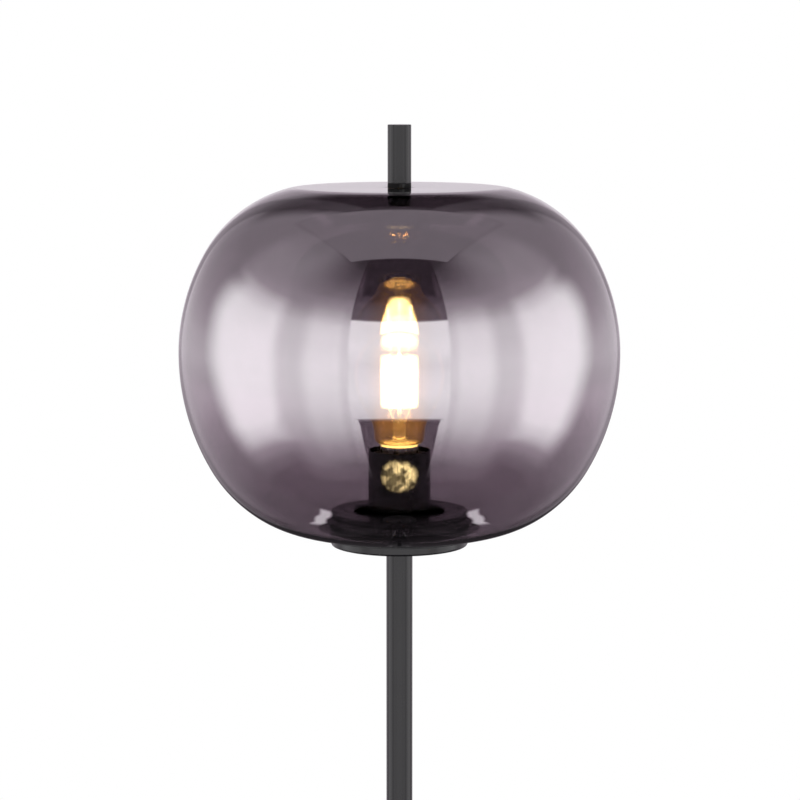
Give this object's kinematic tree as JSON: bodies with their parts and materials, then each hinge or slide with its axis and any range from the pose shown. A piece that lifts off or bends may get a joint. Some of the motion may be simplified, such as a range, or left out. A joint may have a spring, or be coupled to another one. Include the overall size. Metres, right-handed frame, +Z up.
{
  "type": "globe floor lamp",
  "caption": "Floor lamp with a flattened smoked-glass globe around a clear filament bulb, a short rod on top of the globe, a slim black pole and a round weighted base.",
  "frame": {"origin": "centre of the base's underside, on the floor", "axes": "+Z up along the pole, -Y towards the viewer, +Y towards the lead's inlet, +X to the viewer's right"},
  "size_m": [0.3, 0.3, 1.55],
  "materials": {
    "black_powder_coat": "smooth semi-gloss powder coat",
    "black_gloss_enamel": "gloss",
    "smoked_glass": "polished, smoked and half-mirrored",
    "clear_glass": "polished, clear",
    "led_filament": "phosphor coated, lit",
    "nickel_wire": "bright drawn",
    "nickel_plated_cap": "rolled, nickel plated",
    "solder": "cast",
    "circuit_board": "matte",
    "contact_brass": "stamped",
    "black_phenolic": "moulded",
    "zinc_plated_steel": "zinc plated",
    "black_silicone": "matte",
    "black_nylon": "moulded, matte",
    "black_pvc": "extruded, satin",
    "core_insulation": "extruded",
    "cast_iron": "as cast",
    "grey_felt": "needled felt"
  },
  "bodies": {
    "root": {"base_pad": "grey_felt", "base_weight": "cast_iron", "base_cover": "black_powder_coat", "base_nipple": "zinc_plated_steel", "base_washer": "zinc_plated_steel", "base_nut": "zinc_plated_steel", "cable_gland": "black_nylon", "gland_nut": "black_nylon", "pole_lower": "black_powder_coat", "pole_middle": "black_powder_coat", "pole_upper": "black_powder_coat", "pole_bushes": "zinc_plated_steel", "pole_joiners": "zinc_plated_steel", "inner_lead": "black_pvc", "lead_cores": "core_insulation", "top_nipple": "zinc_plated_steel", "shade_dish": "black_powder_coat", "shade_collar": "black_gloss_enamel", "shade_gasket": "black_silicone", "toothed_washer": "zinc_plated_steel", "nipple_nut": "zinc_plated_steel", "holder_sleeve": "black_gloss_enamel", "holder_base": "black_phenolic", "holder_core": "black_phenolic", "holder_grub_screw": "zinc_plated_steel", "thread_shell": "contact_brass", "centre_contact": "contact_brass", "side_contact": "contact_brass", "terminal_screws": "zinc_plated_steel"},
    "shade": {"glass_globe": "smoked_glass", "stem_rod": "black_powder_coat", "stem_seal_outer": "black_silicone", "stem_seal_inner": "black_silicone", "stem_washer": "black_powder_coat", "stem_screw": "black_powder_coat"},
    "bulb_carriage": {"tip_contact": "solder"},
    "bulb": {"cap_insulator": "black_phenolic", "screw_cap": "nickel_plated_cap", "bulb_driver": "circuit_board", "bulb_stem": "clear_glass", "filament_wires": "nickel_wire", "filaments": "led_filament", "bulb_envelope": "clear_glass"}
  },
  "joints": [
    {"name": "shade_lift", "type": "slide", "parent": "root", "child": "shade", "axis": [0, 0, 1], "range_m": [0, 0.16]},
    {"name": "bulb_travel", "type": "slide", "parent": "root", "child": "bulb_carriage", "axis": [0, 0, 1], "range_m": [0, 0.0128]},
    {"name": "bulb_turn", "type": "hinge", "parent": "bulb_carriage", "child": "bulb", "pos_m": [0, 0, 1.3953], "axis": [0, 0, 1], "range_deg": [0, 1260]}
  ],
  "couplings": [
    {"joint": "bulb_travel", "follows": "bulb_turn", "m_per_rad": 0.00057757}
  ]
}
